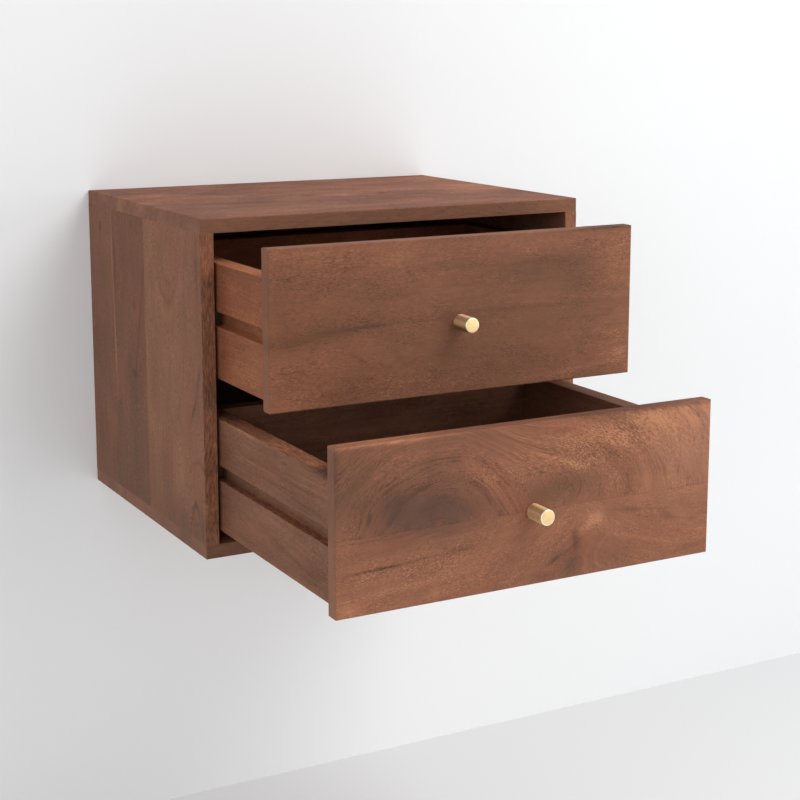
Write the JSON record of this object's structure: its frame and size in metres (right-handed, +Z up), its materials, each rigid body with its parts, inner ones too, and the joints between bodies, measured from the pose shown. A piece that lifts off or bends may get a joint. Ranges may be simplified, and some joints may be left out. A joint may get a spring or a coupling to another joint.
{
  "type": "floating nightstand",
  "caption": "Wall-hung bedside cabinet in dark solid wood, with inset drawers on wooden side runners, brass cylinder knobs and a bevelled cleat that hangs it on a wall.",
  "frame": {"origin": "on the wall, at the middle of the back face of the wall cleat", "axes": "+Z up, +Y into the wall, the drawers pull out towards -Y, +X to the right seen from the front"},
  "size_m": [0.457, 0.649, 0.356],
  "materials": {
    "case_wood": "satin lacquer on dark stained solid wood",
    "front_wood": "satin lacquer on dark stained figured wood",
    "drawer_wood": "satin lacquer on dark stained solid wood",
    "frame_wood": "matt stained solid wood",
    "plywood": "matt stained plywood",
    "beech": "bare beech",
    "brass": "fine brushed brass",
    "steel": "zinc plated"
  },
  "bodies": {
    "cabinet": {"top_panel": "case_wood", "bottom_panel": "case_wood", "left_side_panel": "case_wood", "right_side_panel": "case_wood", "back_panel": "plywood", "hanging_rail": "frame_wood", "wall_cleat": "frame_wood", "wall_spacer": "frame_wood", "case_dowel_top_left_front": "beech", "case_dowel_top_left_rear": "beech", "case_dowel_top_right_front": "beech", "case_dowel_top_right_rear": "beech", "case_dowel_bottom_left_front": "beech", "case_dowel_bottom_left_rear": "beech", "case_dowel_bottom_right_front": "beech", "case_dowel_bottom_right_rear": "beech", "upper_left_runner": "frame_wood", "upper_right_runner": "frame_wood", "lower_left_runner": "frame_wood", "lower_right_runner": "frame_wood", "upper_left_runner_screw_front": "steel", "upper_left_runner_screw_rear": "steel", "upper_right_runner_screw_front": "steel", "upper_right_runner_screw_rear": "steel", "lower_left_runner_screw_front": "steel", "lower_left_runner_screw_rear": "steel", "lower_right_runner_screw_front": "steel", "lower_right_runner_screw_rear": "steel"},
    "upper_drawer": {"upper_drawer_front": "front_wood", "upper_drawer_left_side": "drawer_wood", "upper_drawer_right_side": "drawer_wood", "upper_drawer_back": "drawer_wood", "upper_drawer_bottom": "plywood", "upper_drawer_knob": "brass", "upper_drawer_knob_screw": "steel", "upper_drawer_front_dowel_left_low": "beech", "upper_drawer_front_dowel_left_high": "beech", "upper_drawer_front_dowel_right_low": "beech", "upper_drawer_front_dowel_right_high": "beech", "upper_drawer_back_dowel_left_low": "beech", "upper_drawer_back_dowel_left_high": "beech", "upper_drawer_back_dowel_right_low": "beech", "upper_drawer_back_dowel_right_high": "beech"},
    "lower_drawer": {"lower_drawer_front": "front_wood", "lower_drawer_left_side": "drawer_wood", "lower_drawer_right_side": "drawer_wood", "lower_drawer_back": "drawer_wood", "lower_drawer_bottom": "plywood", "lower_drawer_knob": "brass", "lower_drawer_knob_screw": "steel", "lower_drawer_front_dowel_left_low": "beech", "lower_drawer_front_dowel_left_high": "beech", "lower_drawer_front_dowel_right_low": "beech", "lower_drawer_front_dowel_right_high": "beech", "lower_drawer_back_dowel_left_low": "beech", "lower_drawer_back_dowel_left_high": "beech", "lower_drawer_back_dowel_right_low": "beech", "lower_drawer_back_dowel_right_high": "beech"}
  },
  "joints": [
    {"name": "upper_drawer_slide", "type": "slide", "parent": "cabinet", "child": "upper_drawer", "axis": [0, -1, 0], "range_m": [-0.128, 0.147]},
    {"name": "lower_drawer_slide", "type": "slide", "parent": "cabinet", "child": "lower_drawer", "axis": [0, -1, 0], "range_m": [-0.268, 0.007]}
  ]
}
